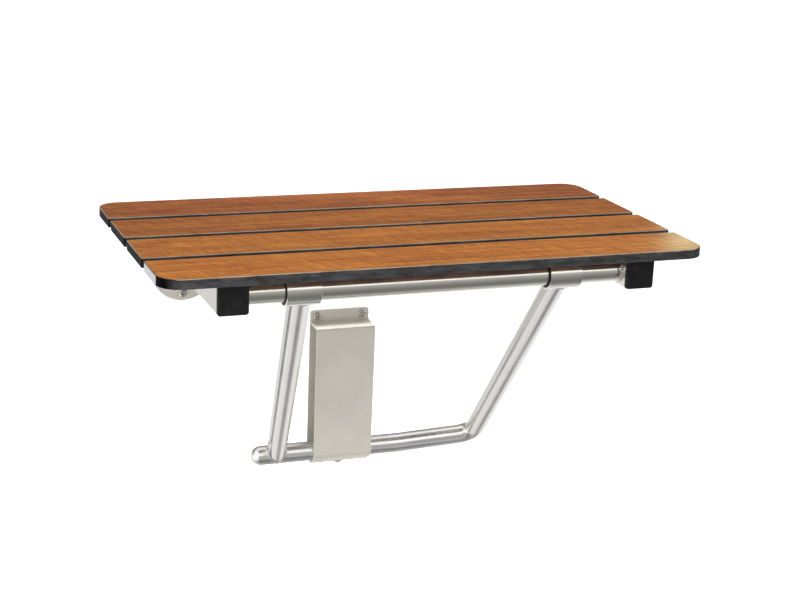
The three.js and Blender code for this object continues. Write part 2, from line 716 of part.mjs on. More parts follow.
for (const [word, x] of [['left', LEG_TOP_LEFT_X], ['right', LEG_TOP_RIGHT_X]]) {
  place(`leg_sleeve_${word}`, sleeve(x), steel)
  place(`sleeve_bushing_${word}`, bushing(x), blackPlastic)
}
place('leg_left', leftLeg(), steel)
place('leg_right', rightLeg(), steel)
place('leg_bar', legBar(), steel)

place('guide_back_plate', guidePlate(), steel)
place('guide_bracket', guideBracket(), steel)
for (const [name, x, z, throughBracket] of GUIDE_SCREWS) {
  const sheets = throughBracket ? 2 : 1
  const headHeight = throughBracket ? SCREW_HEAD_HEIGHT : WAFER_HEAD_HEIGHT
  place(name, wallScrew(x, z, -sheets * (GUIDE_SHEET + GAP), headHeight), screwSteel)
}
place('guide_clamp_screw', clampScrew(), screwSteel)
place('guide_clamp_washer', clampWasher(), screwSteel)

for (const [word, side] of SIDES) {
  place(`hinge_flange_${word}`, hingeFlange(side), steel)
  place(`hinge_lug_${word}`, hingeLug(side), steel)
  place(`hinge_bolt_${word}`, hingeBolt(side), screwSteel)
  place(`hinge_washer_inner_${word}`, hingeWasher(side, LUG_OUTER + GAP), blackPlastic)
  place(`hinge_washer_outer_${word}`, hingeWasher(side, TUBE_OUTER + GAP), screwSteel)
  place(`hinge_nut_${word}`, hingeNut(side), screwSteel)
  flangeScrewPlaces(side).forEach(([x, z], k) => {
    place(`flange_screw_${word}_${k + 1}`, wallScrew(x, z, -FLANGE_THICK - GAP), screwSteel)
  })
}

export default group
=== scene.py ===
"""Looks for a folding wall-mounted shower seat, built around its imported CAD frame.

Every piece is modelled here in metres, in the frame's own axes: X along the wall, +Y into the
wall, +Z up. Places come from the frame's boxes and joints, and each fine piece stands for the
CAD node of the same name.
"""
import json
import math

import bmesh
import bpy
from mathutils import Matrix, Vector


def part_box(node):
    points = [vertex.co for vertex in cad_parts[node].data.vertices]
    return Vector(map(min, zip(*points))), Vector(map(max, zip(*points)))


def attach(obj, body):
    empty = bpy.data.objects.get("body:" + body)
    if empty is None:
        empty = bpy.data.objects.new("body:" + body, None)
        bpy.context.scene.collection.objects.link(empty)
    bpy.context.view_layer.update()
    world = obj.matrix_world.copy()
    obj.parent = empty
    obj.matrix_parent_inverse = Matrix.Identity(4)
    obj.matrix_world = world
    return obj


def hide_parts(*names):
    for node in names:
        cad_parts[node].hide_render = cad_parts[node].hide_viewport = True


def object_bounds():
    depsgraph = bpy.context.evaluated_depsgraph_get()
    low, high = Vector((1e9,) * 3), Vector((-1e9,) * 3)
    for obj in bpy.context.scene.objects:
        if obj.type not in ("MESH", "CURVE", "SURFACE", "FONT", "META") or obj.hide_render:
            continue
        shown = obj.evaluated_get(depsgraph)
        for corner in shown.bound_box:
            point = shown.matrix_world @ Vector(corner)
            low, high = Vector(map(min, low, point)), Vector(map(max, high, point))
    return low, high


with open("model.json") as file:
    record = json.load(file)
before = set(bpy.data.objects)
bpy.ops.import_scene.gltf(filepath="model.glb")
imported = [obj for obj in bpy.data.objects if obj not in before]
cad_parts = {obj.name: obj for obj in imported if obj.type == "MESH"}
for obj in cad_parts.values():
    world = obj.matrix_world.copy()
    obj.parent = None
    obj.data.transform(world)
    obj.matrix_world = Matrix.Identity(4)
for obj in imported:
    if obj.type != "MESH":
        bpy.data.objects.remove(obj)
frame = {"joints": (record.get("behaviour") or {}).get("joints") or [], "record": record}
cad_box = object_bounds()

# ---- sizes, in metres ----
MM = 0.001
HAIR = 0.02 * MM                # gap that keeps two flush faces apart

SLAT_BEVEL = 1.0 * MM
SLAT_CORNER = 28 * MM
SLAT_SMALL_CORNER = 3 * MM
SLATS = ["slat_front", "slat_mid_front", "slat_mid_rear", "slat_rear"]

# Material slots of a slat's mesh.
WOOD, CORE_CUT, BEVEL, UNDERSIDE, POLISHED_PAINTED_REFLECTION = range(5)

SQUARE_CORNER = 3.5 * MM
SQUARE_WALL = 2 * MM
CAP_INSET = 4.2 * MM            # from the cap's edge to its recessed face
CAP_SINK = 0.9 * MM

ROUND_WALL = 1.8 * MM
SLEEVE_WALL = 2 * MM
LEG_FOOT_LEFT_X = -95.4 * MM
LEG_FOOT_RIGHT_X = 215.5 * MM
LEG_BEND = 24 * MM
LEG_KINK_X = 92 * MM            # the right leg's tube starts to rise here
LEG_RISE = 4.8 * MM             # height of the right corner above the bar
LEG_KINK_RADIUS = 300 * MM
LEG_SEGMENTS = 80
WELD_POINTS = 240

GUIDE_SHEET = 2 * MM
GUIDE_SHELF_DROP = 18.5 * MM    # from the top of the flange to the shelf's bend
GUIDE_SHELF_FALL = 2.5 * MM
GUIDE_CORNER = 5 * MM
SHEET_EDGE = 0.45 * MM

FLANGE_EDGE = 1.2 * MM
LUG_HEAD = 14 * MM
LUG_FOOT_REACH = 20 * MM
LUG_FOOT_RIM = 15 * MM          # from the flange's top edge to the lug's foot
HINGE_BORE = 5.3 * MM
SCREW_HOLE = 2.8 * MM           # radius

WELD_RADIUS = 1.7 * MM
WELD_RIPPLE = 2.4 * MM          # length of one ripple along a bead

SMOOTH_ANGLE = math.radians(32)
X_AXIS = Vector((1, 0, 0))
Y_AXIS = Vector((0, 1, 0))
Z_AXIS = Vector((0, 0, 1))

record = frame["record"]
BODY_OF = {n: body for body, nodes in record["behaviour"]["bodies"].items() for n in nodes}
SLOT_OF = {part["node"]: part["material_slot"] for part in record["subparts"]}
PIVOT = Vector(next(j["pos_m"] for j in frame["joints"] if j["name"] == "seat_fold"))


def centre(node):
    lo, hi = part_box(node)
    return (lo + hi) / 2


def extent(node):
    lo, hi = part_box(node)
    return hi - lo


TUBE_RADIUS = extent("front_cross_tube").z / 2
SLEEVE_RADIUS = extent("leg_sleeve_left").z / 2
CROSS_AXIS = centre("front_cross_tube")
BAR_AXIS = centre("leg_bar")
SLEEVE_MIDDLE = {side: centre("leg_sleeve_" + side).x for side in ("left", "right")}
FOOT_LEFT = Vector((LEG_FOOT_LEFT_X, BAR_AXIS.y, BAR_AXIS.z))
FOOT_RIGHT = Vector((LEG_FOOT_RIGHT_X, BAR_AXIS.y, BAR_AXIS.z + LEG_RISE))
TOP_LEFT = Vector((SLEEVE_MIDDLE["left"], CROSS_AXIS.y, CROSS_AXIS.z))
TOP_RIGHT = Vector((SLEEVE_MIDDLE["right"], CROSS_AXIS.y, CROSS_AXIS.z))


# ---- shader helpers ----
def node(tree, kind, inputs=None, **settings):
    """A shader node with its settings and its inputs, which are values or other nodes' outputs."""
    made = tree.nodes.new("ShaderNode" + kind)
    for key, value in settings.items():
        setattr(made, key, value)
    for key, value in (inputs or {}).items():
        if isinstance(value, bpy.types.NodeSocket):
            tree.links.new(value, made.inputs[key])
        else:
            made.inputs[key].default_value = value
    return made


def calc(tree, operation, a, b=0.0):
    return node(tree, "Math", {0: a, 1: b}, operation=operation).outputs[0]


def mix(tree, factor, a, b, blend="MIX"):
    made = node(tree, "Mix", {0: factor, 6: a, 7: b}, data_type="RGBA", blend_type=blend)
    return made.outputs[2]


def ramp(tree, value, stops):
    """A colour for a value, from (position, colour) stops."""
    made = node(tree, "ValToRGB", {0: value})
    elements = made.color_ramp.elements
    while len(elements) < len(stops):
        elements.new(0.5)
    for element, (position, colour) in zip(elements, stops):
        element.position = position
        element.color = (*colour, 1)
    return made.outputs[0]


def grey(level):
    return (level, level, level)


def remap(tree, value, low, high, out_low, out_high):
    inputs = {"Value": value, 1: low, 2: high, 3: out_low, 4: out_high}
    return node(tree, "MapRange", inputs).outputs[0]


def laid_along(tree, axis, feature, offset=(0, 0, 0)):
    """Object coordinates turned so that Z follows `axis`, then divided by a feature size each way."""
    where = node(tree, "TexCoord").outputs["Object"]
    turn = Vector(axis).to_track_quat("Z", "Y").to_euler()
    inputs = {"Vector": where, "Location": offset, "Rotation": turn, "Scale": feature}
    return node(tree, "Mapping", inputs, vector_type="TEXTURE").outputs[0]


def noise(tree, vector, detail=3.0, roughness=0.55, distortion=0.0):
    inputs = {"Vector": vector, "Scale": 1.0, "Detail": detail, "Roughness": roughness,
              "Distortion": distortion}
    return node(tree, "TexNoise", inputs).outputs[0]


def bump(tree, height, distance, strength=1.0):
    inputs = {"Height": height, "Distance": distance, "Strength": strength}
    return node(tree, "Bump", inputs).outputs[0]


def material(name):
    """A new material, its node tree and its shader."""
    made = bpy.data.materials.new(name)
    made.use_nodes = True
    return made, made.node_tree, made.node_tree.nodes["Principled BSDF"]


def feed(tree, shader, **inputs):
    """Joins outputs or sets values on the shader; Base_Color means the input Base Color."""
    for key, value in inputs.items():
        socket = shader.inputs[key.replace("_", " ")]
        if isinstance(value, bpy.types.NodeSocket):
            tree.links.new(value, socket)
        else:
            socket.default_value = value


# ---- materials ----
def teak(name, board, shade):
    """Printed teak laminate: long grain, fine pores, and golden flecks across the board."""
    made, tree, shader = material(name)
    offset = (0.31 * board, 0.17 * board, 0.0)
    # Z of each coordinate runs along the board, so its feature size is the long one.
    grain = noise(tree, laid_along(tree, X_AXIS, (2.2 * MM, 2.2 * MM, 70 * MM), offset), 6.0, 0.68, 0.5)
    streak = noise(tree, laid_along(tree, X_AXIS, (16 * MM, 16 * MM, 260 * MM), offset), 3.0, 0.5, 1.2)
    tilt = Vector((0.93, 0.36, 0))
    figure = noise(tree, laid_along(tree, tilt, (30 * MM, 30 * MM, 6 * MM), offset), 4.0, 0.68, 0.9)
    pores = noise(tree, laid_along(tree, X_AXIS, (0.7 * MM, 0.7 * MM, 9 * MM), offset), 2.0, 0.5)
    blend = calc(tree, "ADD", calc(tree, "MULTIPLY", grain, 0.60), calc(tree, "MULTIPLY", streak, 0.40))
    wood = ramp(tree, blend, [
        (0.34, (0.240, 0.072, 0.020)),
        (0.45, (0.375, 0.126, 0.026)),
        (0.55, (0.490, 0.184, 0.034)),
        (0.66, (0.660, 0.285, 0.056)),
    ])
    flecks = ramp(tree, figure, [(0.34, (0.80, 0.76, 0.78)), (0.50, grey(0.99)), (0.68, (1.20, 1.30, 1.22))])
    figured = mix(tree, 1.0, wood, flecks, "MULTIPLY")
    dotted = mix(tree, 1.0, figured, ramp(tree, pores, [(0.30, grey(0.62)), (0.42, grey(1.0))]), "MULTIPLY")
    # Multiplying by the board's shade makes the rear boards darker: painted shade, for light falling off
    # towards the rear.
    row_shaded = mix(tree, 1.0, dotted, (*shade, 1), "MULTIPLY")
    gloss = remap(tree, grain, 0.3, 0.7, 0.46, 0.58)
    feed(tree, shader, Base_Color=row_shaded, Roughness=gloss, Normal=bump(tree, pores, 0.05 * MM, 0.35))
    feed(tree, shader, Specular_IOR_Level=0.14)
    return made


def shaded_underside():
    """The underside of each slat, painted dark brown: painted shade, as it faces down out of the light."""
    made, tree, shader = material("phenolic_underside")
    cloud = noise(tree, laid_along(tree, X_AXIS, (20 * MM, 20 * MM, 60 * MM)), 4.0, 0.6, 0.5)
    colour = ramp(tree, cloud, [(0.35, (0.060, 0.026, 0.014)), (0.65, (0.110, 0.050, 0.028))])
    feed(tree, shader, Base_Color=colour, Roughness=remap(tree, cloud, 0.3, 0.7, 0.55, 0.7))
    return made


def core(name, low, high, roughness, specular=0.5, end_shade=0.0):
    """The laminate's solid black core where it is cut: cloudy scuffs and fine saw marks. It is darker and
    less shiny where it faces along X, by end_shade, and folding the seat doesn't change that."""
    made, tree, shader = material(name)
    clouds = noise(tree, laid_along(tree, X_AXIS, (9 * MM, 9 * MM, 34 * MM)), 4.0, 0.65, 0.7)
    scuffs = noise(tree, laid_along(tree, X_AXIS, (1.1 * MM, 1.1 * MM, 4 * MM)), 3.0, 0.6)
    marks = noise(tree, laid_along(tree, Z_AXIS, (0.5 * MM, 0.5 * MM, 6 * MM)), 2.0, 0.5)
    both = calc(tree, "ADD", calc(tree, "MULTIPLY", clouds, 0.7), calc(tree, "MULTIPLY", scuffs, 0.3))
    colour = ramp(tree, both, [(0.36, low), (0.52, [(a + b) / 2 for a, b in zip(low, high)]), (0.66, high)])
    facing = node(tree, "SeparateXYZ", {0: node(tree, "NewGeometry").outputs["Normal"]}).outputs[0]
    endwise = calc(tree, "ABSOLUTE", facing)
    shaded = mix(tree, remap(tree, endwise, 0.15, 0.75, 0.0, end_shade), colour, (0, 0, 0, 1))
    shine = remap(tree, endwise, 0.15, 0.75, specular, specular * (1 - end_shade))
    gloss = remap(tree, clouds, 0.3, 0.7, roughness + 0.08, roughness - 0.08)
    feed(tree, shader, Base_Color=shaded, Roughness=gloss, Normal=bump(tree, marks, 0.05 * MM, 0.5))
    feed(tree, shader, Specular_IOR_Level=shine)
    return made


def satin_steel(name, axis, feature, roughness, metallic, tint, relief=0.15):
    """Satin stainless steel. `feature` is the size of the brush marks across and along `axis`."""
    made, tree, shader = material(name)
    marks = noise(tree, laid_along(tree, axis, feature), 4.0, 0.6)
    smear = noise(tree, laid_along(tree, axis, (45 * MM, 45 * MM, 60 * MM)), 3.0, 0.55, 0.4)
    level = ramp(tree, marks, [(0.30, grey(0.94)), (0.70, grey(1.03))])
    cloudy = mix(tree, 1.0, level, ramp(tree, smear, [(0.30, grey(0.95)), (0.70, grey(1.03))]), "MULTIPLY")
    colour = mix(tree, 1.0, (*tint, 1), cloudy, "MULTIPLY")
    marked = remap(tree, marks, 0.3, 0.7, roughness - 0.03, roughness + 0.04)
    worn = remap(tree, smear, 0.35, 0.65, -0.02, 0.03)
    feed(tree, shader, Base_Color=colour, Metallic=metallic, Roughness=calc(tree, "ADD", marked, worn))
    feed(tree, shader, Normal=bump(tree, marks, 0.01 * MM, relief))
    return made


def tube_steel(name, axis, roughness, tint):
    """A tube is polished with a belt, so its marks run round it."""
    return satin_steel(name, axis, (12 * MM, 12 * MM, 0.3 * MM), roughness, 1.0, tint)


def sheet_steel(name, axis):
    """Bent sheet has a duller, directional brush finish that also scatters light."""
    return satin_steel(name, axis, (0.35 * MM, 0.35 * MM, 30 * MM), 0.42, 0.5, (0.70, 0.672, 0.60), 0.25)


def bright_steel(name):
    """Polished fasteners with a few fine handling marks."""
    made, tree, shader = material(name)
    marks = noise(tree, laid_along(tree, Vector((1, 1, 0.4)), (0.4 * MM, 0.4 * MM, 5 * MM)), 3.0, 0.6)
    colour = ramp(tree, marks, [(0.3, (0.62, 0.60, 0.56)), (0.7, (0.84, 0.82, 0.78))])
    gloss = remap(tree, marks, 0.3, 0.7, 0.12, 0.24)
    feed(tree, shader, Base_Color=colour, Metallic=1.0, Roughness=gloss)
    feed(tree, shader, Normal=bump(tree, marks, 0.01 * MM, 0.4))
    return made


def weld_steel(name):
    """Weld metal, brushed but still a little straw-coloured and darker in patches."""
    made, tree, shader = material(name)
    heat = noise(tree, laid_along(tree, Z_AXIS, (7 * MM, 7 * MM, 7 * MM)), 3.0, 0.6)
    stops = [(0.3, (0.56, 0.52, 0.46)), (0.5, (0.74, 0.71, 0.66)), (0.7, (0.80, 0.79, 0.77))]
    colour = ramp(tree, heat, stops)
    grains = noise(tree, laid_along(tree, Z_AXIS, (0.5 * MM, 0.5 * MM, 0.5 * MM)), 2.0, 0.6)
    feed(tree, shader, Base_Color=colour, Metallic=1.0, Roughness=remap(tree, heat, 0.3, 0.7, 0.40, 0.28))
    feed(tree, shader, Normal=bump(tree, grains, 0.04 * MM, 0.5))
    return made


def black_plastic(name):
    """Moulded black plastic: a fine spark-eroded texture, paler where edges have been rubbed."""
    made, tree, shader = material(name)
    texture = noise(tree, laid_along(tree, Z_AXIS, (0.35 * MM, 0.35 * MM, 0.35 * MM)), 3.0, 0.7)
    haze = noise(tree, laid_along(tree, Z_AXIS, (11 * MM, 11 * MM, 8 * MM)), 3.0, 0.6)
    worn = node(tree, "NewGeometry").outputs["Pointiness"]
    colour = ramp(tree, haze, [(0.3, (0.004, 0.004, 0.004)), (0.7, (0.010, 0.010, 0.010))])
    edge = remap(tree, worn, 0.52, 0.60, 0.0, 0.35)
    rubbed = mix(tree, edge, colour, (0.040, 0.040, 0.040, 1))
    gloss = remap(tree, haze, 0.3, 0.7, 0.42, 0.56)
    feed(tree, shader, Base_Color=rubbed, Roughness=gloss, Normal=bump(tree, texture, 0.04 * MM, 0.5))
    feed(tree, shader, Specular_IOR_Level=0.22)
    return made


# Each board has its own stretch of the print. The rear ones are a deeper red-brown, and their darkness is
# also painted shade, as the light falls off from the front.
TEAK = [
    teak("teak_1", 1, (1.03, 0.96, 0.90)),
    teak("teak_2", 2, (0.94, 0.89, 0.86)),
    teak("teak_3", 3, (0.71, 0.63, 0.68)),
    teak("teak_4", 4, (0.64, 0.54, 0.70)),
]
# The slats' undersides are painted dark brown: painted shade, as they face down out of the light.
SHADED_UNDERSIDE = shaded_underside()
CORE = core("phenolic_core", (0.004, 0.004, 0.005), (0.056, 0.056, 0.059), 0.46, 0.5, 0.94)
# The pale bevel line is partly the decor layer's own edge and partly a painted highlight, where the rounded
# top edge catches the light.
BEVEL_DECOR_AND_PAINTED_HIGHLIGHT = core("phenolic_bevel_decor_and_painted_highlight", (0.19, 0.14, 0.09), (0.42, 0.32, 0.22), 0.40, 0.3)
# The pale grey of this glossy end is a painted reflection of the bright surroundings; the core itself is
# black there too.
POLISHED_END_PAINTED_REFLECTION = core("phenolic_polished_end_painted_reflection", (0.40, 0.40, 0.41), (0.62, 0.62, 0.63), 0.24)
# The cross tube and sleeves get a warmer tint than the legs and bar, though it is the same steel: a painted
# reflection of the warm seat above them.
WARM_PAINTED_REFLECTION = (0.85, 0.825, 0.75)
COOL = (0.84, 0.825, 0.80)
TUBE_CROSS = tube_steel("steel_tube_cross", X_AXIS, 0.17, WARM_PAINTED_REFLECTION)
TUBE_BAR = tube_steel("steel_tube_bar", X_AXIS, 0.32, COOL)
TUBE_LEG_LEFT = tube_steel("steel_tube_leg_left", TOP_LEFT - FOOT_LEFT, 0.21, COOL)
TUBE_LEG_RIGHT = tube_steel("steel_tube_leg_right", TOP_RIGHT - FOOT_RIGHT, 0.23, COOL)
STEEL_Y = satin_steel("steel_brushed_y", Y_AXIS, (0.4 * MM, 0.4 * MM, 28 * MM), 0.26, 1.0, (0.97, 0.94, 0.88))
STEEL_SHEET = sheet_steel("steel_sheet", Z_AXIS)
STEEL_PLATE = sheet_steel("steel_plate", X_AXIS)
BRIGHT = bright_steel("steel_bright")
WELD = weld_steel("steel_weld")
BLACK = black_plastic("plastic_black")


# ---- mesh helpers ----
def loft(bm, rings, closed=False, bands=None):
    """Joins rings of points, all with the same count, by quads. `closed` joins the last ring to the
    first; otherwise both ends get a face. `bands` holds a material index for each band, with the two
    end faces last."""
    rows = [[bm.verts.new(p) for p in points] for points in rings]
    pairs = list(zip(rows, rows[1:]))
    if closed:
        pairs.append((rows[-1], rows[0]))
    count = len(rows[0])
    faces = []
    for a, b in pairs:
        band = [bm.faces.new((a[i], a[(i + 1) % count], b[(i + 1) % count], b[i])) for i in range(count)]
        faces.append(band)
    if not closed:
        faces.append([bm.faces.new(rows[0][::-1])])
        faces.append([bm.faces.new(rows[-1])])
    for band, index in zip(faces, bands or []):
        for face in band:
            face.material_index = index
    return faces


def lathe(bm, profile, place, segments=48):
    """Turns a profile of (radius, height) about local Z and puts it at `place`. A profile that starts
    and ends on the axis is a solid; one that doesn't is closed on itself."""
    rings = []
    poles = []
    for radius, height in profile:
        if radius == 0:
            poles.append((len(rings), place @ Vector((0, 0, height))))
            continue
        angles = [i / segments * math.tau for i in range(segments)]
        rings.append([place @ Vector((radius * math.cos(a), radius * math.sin(a), height)) for a in angles])
    rows = [[bm.verts.new(p) for p in points] for points in rings]
    pairs = list(zip(rows, rows[1:]))
    if not poles:
        pairs.append((rows[-1], rows[0]))
    for a, b in pairs:
        for i in range(segments):
            j = (i + 1) % segments
            bm.faces.new((a[i], a[j], b[j], b[i]))
    for k, point in poles:
        tip = bm.verts.new(point)
        row = rows[min(k, len(rows) - 1)]
        for i in range(segments):
            bm.faces.new((tip, row[(i + 1) % segments], row[i]))


def toward(axis, at):
    """A placement whose local Z points along `axis`."""
    return Matrix.Translation(at) @ Vector(axis).to_track_quat("Z", "Y").to_matrix().to_4x4()


def arc(centre_point, radius, start, end, steps):
    """(u, v) points on an arc, angles in degrees."""
    u, v = centre_point
    angles = [math.radians(start + (end - start) * i / steps) for i in range(steps + 1)]
    return [(u + radius * math.cos(a), v + radius * math.sin(a)) for a in angles]


def rounded_box(half_u, half_v, radii, steps=6):
    """Outline of a rectangle whose corners, from +u -v round to -u -v, have these radii."""
    signs = [(1, -1), (1, 1), (-1, 1), (-1, -1)]
    points = []
    for k, ((su, sv), radius) in enumerate(zip(signs, radii)):
        corner = (su * (half_u - radius), sv * (half_v - radius))
        points += arc(corner, radius, 90 * (k - 1), 90 * k, steps)
    return points


def fillet(a, b, c, radius, steps):
    """Points on the arc that rounds the corner b of the path a-b-c."""
    to_a = (a - b).normalized()
    to_c = (c - b).normalized()
    half = to_a.angle(to_c) / 2
    middle = b + (to_a + to_c).normalized() * (radius / math.sin(half))
    start = b + to_a * (radius / math.tan(half)) - middle
    end = b + to_c * (radius / math.tan(half)) - middle
    sweep = start.angle(end)
    points = []
    for i in range(steps + 1):
        t = i / steps
        p = start * (math.sin((1 - t) * sweep) / math.sin(sweep))
        points.append(middle + p + end * (math.sin(t * sweep) / math.sin(sweep)))
    return points


def object_from(bm, name, materials):
    bmesh.ops.recalc_face_normals(bm, faces=bm.faces)
    mesh = bpy.data.meshes.new(name)
    bm.to_mesh(mesh)
    bm.free()
    for entry in materials:
        mesh.materials.append(entry)
    obj = bpy.data.objects.new(name, mesh)
    bpy.context.scene.collection.objects.link(obj)
    return obj


def bake_modifiers(obj):
    graph = bpy.context.evaluated_depsgraph_get()
    finished = bpy.data.meshes.new_from_object(obj.evaluated_get(graph))
    obj.modifiers.clear()
    obj.data = finished


def combine(obj, bm, operation="DIFFERENCE"):
    """Cuts a closed shape out of obj, or joins it on."""
    tool = object_from(bm, "tool", [])
    step = obj.modifiers.new("combine", "BOOLEAN")
    step.operation = operation
    step.solver = "EXACT"
    step.object = tool
    bake_modifiers(obj)
    bpy.data.objects.remove(tool)


def soften(obj, width, segments=2):
    """Rounds every sharp edge a little."""
    step = obj.modifiers.new("soften", "BEVEL")
    step.width = width
    step.segments = segments
    step.limit_method = "ANGLE"
    step.angle_limit = SMOOTH_ANGLE
    bake_modifiers(obj)


def shade(obj):
    obj.data.shade_smooth()
    obj.data.set_sharp_from_angle(angle=SMOOTH_ANGLE)
    step = obj.modifiers.new("normals", "WEIGHTED_NORMAL")
    step.keep_sharp = True


def stand_for(obj, cad_node):
    """The finished piece is shown in place of its CAD node and moves with that node's body."""
    obj.name = cad_node + "_fine"
    shade(obj)
    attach(obj, BODY_OF[cad_node])
    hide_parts(cad_node)
    return obj


# ---- seat slats ----
def slat(cad_node, wood, corner_front, corner_rear, polished):
    """One board: teak on top, a dark brown underside and the black core all round its edge. The underside's
    dark brown is painted shade, as it faces down out of the light. The two straight ends of a polished board
    are glossier, and their pale grey is a painted reflection."""
    lo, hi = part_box(cad_node)
    middle = (lo + hi) / 2
    half = (hi - lo) / 2
    steps = 14

    def outline(inset, z):
        front = max(corner_front - inset, 0.2 * MM)
        rear = max(corner_rear - inset, 0.2 * MM)
        radii = [front, rear, rear, front]
        points = rounded_box(half.x - inset, half.y - inset, radii, steps)
        return [Vector((middle.x + u, middle.y + v, z)) for u, v in points]

    rounding = arc((SLAT_BEVEL, SLAT_BEVEL), SLAT_BEVEL, 270, 180, 5)
    rings = [outline(inset, lo.z + rise) for inset, rise in rounding]
    rings += [outline(inset, hi.z - rise) for inset, rise in reversed(rounding)]
    bm = bmesh.new()
    side = len(rounding) - 1
    bands = [CORE_CUT] * (side + 1) + [BEVEL] * side + [UNDERSIDE, WOOD]
    faces = loft(bm, rings, bands=bands)
    bm.normal_update()
    if polished:
        # The straight ends of a polished board get the pale end material: a painted reflection.
        for face in faces[side]:
            if abs(face.normal.x) > 0.99:
                face.material_index = POLISHED_PAINTED_REFLECTION
        # A black line stays between the pale end, with its painted reflection, and the teak.
        for face in faces[side + 1] + faces[side + 2] + faces[side + 3]:
            if abs(face.normal.x) > 0.3:
                face.material_index = CORE_CUT
    obj = object_from(bm, cad_node, [wood, CORE, BEVEL_DECOR_AND_PAINTED_HIGHLIGHT, SHADED_UNDERSIDE, POLISHED_END_PAINTED_REFLECTION])
    return stand_for(obj, cad_node)


# ---- seat frame ----
def square_ring(x, z, half, corner, y):
    return [Vector((x + u, y, z + v)) for u, v in rounded_box(half, half, [corner] * 4)]


def square_tube(side_name):
    cad_node = "square_tube_" + side_name
    lo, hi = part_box(cad_node)
    x, z = (lo.x + hi.x) / 2, (lo.z + hi.z) / 2
    half = (hi.x - lo.x) / 2
    bore = half - SQUARE_WALL
    edge = 0.3 * MM
    rings = [
        square_ring(x, z, half - edge, SQUARE_CORNER - edge, lo.y),
        square_ring(x, z, half, SQUARE_CORNER, lo.y + edge),
        square_ring(x, z, half, SQUARE_CORNER, hi.y - edge),
        square_ring(x, z, half - edge, SQUARE_CORNER - edge, hi.y),
        square_ring(x, z, bore, SQUARE_CORNER - SQUARE_WALL, hi.y),
        square_ring(x, z, bore, SQUARE_CORNER - SQUARE_WALL, lo.y),
    ]
    bm = bmesh.new()
    loft(bm, rings, closed=True)
    obj = object_from(bm, cad_node, [STEEL_Y])
    holes = bmesh.new()
    reach = 2 * half
    start = Vector((x - reach, PIVOT.y, PIVOT.z))
    profile = [(0, 0), (HINGE_BORE, 0), (HINGE_BORE, 2 * reach), (0, 2 * reach)]
    lathe(holes, profile, toward(X_AXIS, start), 32)
    combine(obj, holes)
    return stand_for(obj, cad_node)


def end_cap(cad_node, outward):
    """A moulded cap: rounded face with a sunk panel, and a hollow plug in the tube."""
    lo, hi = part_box(cad_node)
    x, z = (lo.x + hi.x) / 2, (lo.z + hi.z) / 2
    half = (hi.x - lo.x) / 2
    face, plug = (lo.y, hi.y) if outward < 0 else (hi.y, lo.y)
    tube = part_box(cad_node.replace("front_cap", "square_tube").replace("rear_cap", "square_tube"))
    root = (tube[0].y if outward < 0 else tube[1].y) + outward * HAIR
    round_over = 1.3 * MM
    bore = half - SQUARE_WALL - 0.3 * MM

    def section(inset, y, corner=SQUARE_CORNER):
        return square_ring(x, z, half - inset, max(corner - inset, 0.6 * MM), y)

    rings = [section(0, root)]
    for u, v in arc((0, 0), round_over, 0, 90, 5):
        rings.append(section(round_over - u, face + outward * (v - round_over)))
    rings += [
        section(CAP_INSET, face),
        section(CAP_INSET + 0.35 * MM, face - outward * 0.15 * MM),
        section(CAP_INSET + 0.75 * MM, face - outward * (CAP_SINK - 0.15 * MM)),
        section(CAP_INSET + 1.2 * MM, face - outward * CAP_SINK),
    ]
    rings.reverse()
    rings += [
        square_ring(x, z, bore, 1.2 * MM, root),
        square_ring(x, z, bore, 1.2 * MM, plug + outward * 0.6 * MM),
        square_ring(x, z, bore - 0.5 * MM, 1.0 * MM, plug),
        square_ring(x, z, bore - 2 * MM, 0.8 * MM, plug),
        square_ring(x, z, bore - 2 * MM, 0.8 * MM, root + outward * 0.8 * MM),
    ]
    bm = bmesh.new()
    loft(bm, rings)
    return stand_for(object_from(bm, cad_node, [BLACK]), cad_node)


def pipe_x(cad_node, radius, wall, edge, finish):
    """A round tube along X with eased ends, in its node's box."""
    lo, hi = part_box(cad_node)
    middle = (lo + hi) / 2
    length = hi.x - lo.x
    profile = [
        (radius - edge, 0), (radius, edge), (radius, length - edge), (radius - edge, length),
        (radius - wall + edge / 2, length), (radius - wall, length - edge / 2),
        (radius - wall, edge / 2), (radius - wall + edge / 2, 0),
    ]
    bm = bmesh.new()
    lathe(bm, profile, toward(X_AXIS, Vector((lo.x, middle.y, middle.z))), 96)
    return stand_for(object_from(bm, cad_node, [finish]), cad_node)


def bushing(side_name):
    """The sleeve's plastic liner, with a rounded lip at its left end."""
    cad_node = "sleeve_bushing_" + side_name
    lo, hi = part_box(cad_node)
    middle = (lo + hi) / 2
    lip_radius = extent(cad_node).z / 2 - 1 * MM
    start = 0.3 * MM
    lip_end = 0.8 * MM
    bore = TUBE_RADIUS + 0.3 * MM
    body = SLEEVE_RADIUS - SLEEVE_WALL - 0.3 * MM
    length = hi.x - lo.x
    profile = [
        (bore, start), (lip_radius - 0.2 * MM, start), (lip_radius, start + 0.2 * MM),
        (lip_radius, lip_end), (body, lip_end), (body, length - 0.4 * MM),
        (body - 0.4 * MM, length), (bore, length),
    ]
    bm = bmesh.new()
    lathe(bm, profile, toward(X_AXIS, Vector((lo.x, middle.y, middle.z))), 96)
    return stand_for(object_from(bm, cad_node, [BLACK]), cad_node)


def cross_tube_weld(side_name, side):
    """The bead between the front cross tube and a square tube."""
    x = side * (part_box("square_tube_right")[0].x - 0.4 * MM)
    curve = []
    for i in range(WELD_POINTS):
        angle = i / WELD_POINTS * math.tau
        y = CROSS_AXIS.y + TUBE_RADIUS * math.cos(angle)
        z = CROSS_AXIS.z + TUBE_RADIUS * math.sin(angle)
        curve.append(Vector((x, y, z)))
    weld("weld_cross_tube_" + side_name, curve, "seat")


